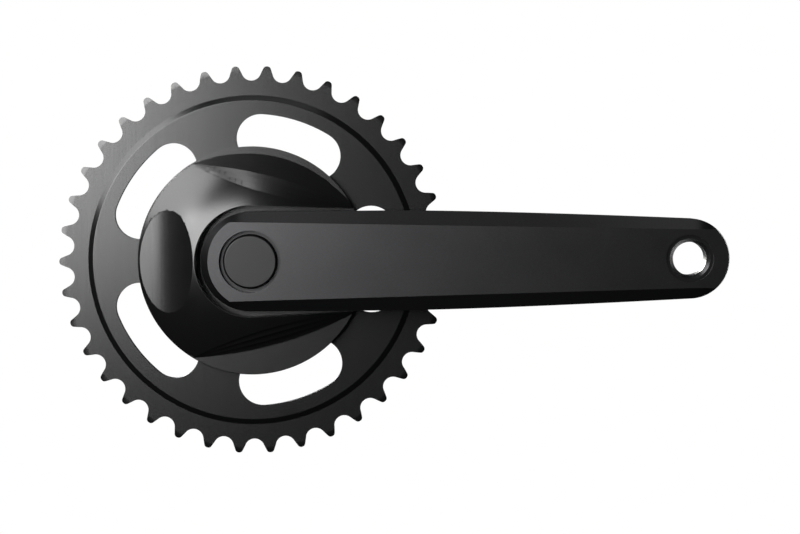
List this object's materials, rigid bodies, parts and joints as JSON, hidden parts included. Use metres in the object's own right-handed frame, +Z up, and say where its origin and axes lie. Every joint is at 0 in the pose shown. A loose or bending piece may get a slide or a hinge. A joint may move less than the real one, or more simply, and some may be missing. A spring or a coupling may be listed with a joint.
{
  "type": "bicycle crankset",
  "caption": "Drive-side bicycle crank arm with a narrow toothed chainring, sculpted hub cover and a square-taper cartridge bottom bracket that it turns on.",
  "frame": {"origin": "crank axis at the centre plane of the bicycle, the middle of the frame's bottom bracket shell", "axes": "+Y along the crank axis away from the drive side, +X from the crank axis to the pedal eye, +Z up"},
  "size_m": [0.27, 0.1378, 0.1572],
  "materials": {
    "arm_anodised": "fine blasted, black anodised",
    "chainring_anodised": "satin black anodised",
    "cover_plastic": "moulded black plastic, semi-gloss",
    "cap_plastic": "moulded black plastic, satin",
    "plated_steel": "zinc plated",
    "spindle_steel": "ground and oiled",
    "bearing_steel": "ground and polished",
    "cup_steel": "dark plated",
    "seal_rubber": "moulded"
  },
  "bodies": {
    "bottom_bracket": {"right_cup": "cup_steel", "left_cup": "cup_steel", "cartridge_sleeve": "cup_steel", "right_outer_race": "bearing_steel", "left_outer_race": "bearing_steel", "right_seal": "seal_rubber", "left_seal": "seal_rubber"},
    "crank": {"crank_arm": "arm_anodised", "spider": "arm_anodised", "chainring": "chainring_anodised", "cover": "cover_plastic", "dust_cap": "cap_plastic", "crank_bolt": "plated_steel", "crank_bolt_washer": "plated_steel", "spindle": "spindle_steel", "right_inner_race": "bearing_steel", "left_inner_race": "bearing_steel", "chainring_bolt_1": "plated_steel", "chainring_bolt_2": "plated_steel", "chainring_bolt_3": "plated_steel", "chainring_bolt_4": "plated_steel", "chainring_bolt_5": "plated_steel", "chainring_nut_1": "plated_steel", "chainring_nut_2": "plated_steel", "chainring_nut_3": "plated_steel", "chainring_nut_4": "plated_steel", "chainring_nut_5": "plated_steel"},
    "right_balls": {"right_ball_set": "bearing_steel"},
    "left_balls": {"left_ball_set": "bearing_steel"}
  },
  "joints": [
    {"name": "crank_spin", "type": "hinge", "parent": "bottom_bracket", "child": "crank", "pos_m": [0, 0, 0], "axis": [0, 1, 0], "continuous": true},
    {"name": "right_balls_roll", "type": "hinge", "parent": "bottom_bracket", "child": "right_balls", "pos_m": [0, -0.0255, 0], "axis": [0, 1, 0], "continuous": true},
    {"name": "left_balls_roll", "type": "hinge", "parent": "bottom_bracket", "child": "left_balls", "pos_m": [0, 0.0255, 0], "axis": [0, 1, 0], "continuous": true}
  ],
  "couplings": [
    {"joint": "right_balls_roll", "follows": "crank_spin", "ratio": 0.4234},
    {"joint": "left_balls_roll", "follows": "crank_spin", "ratio": 0.4234}
  ]
}
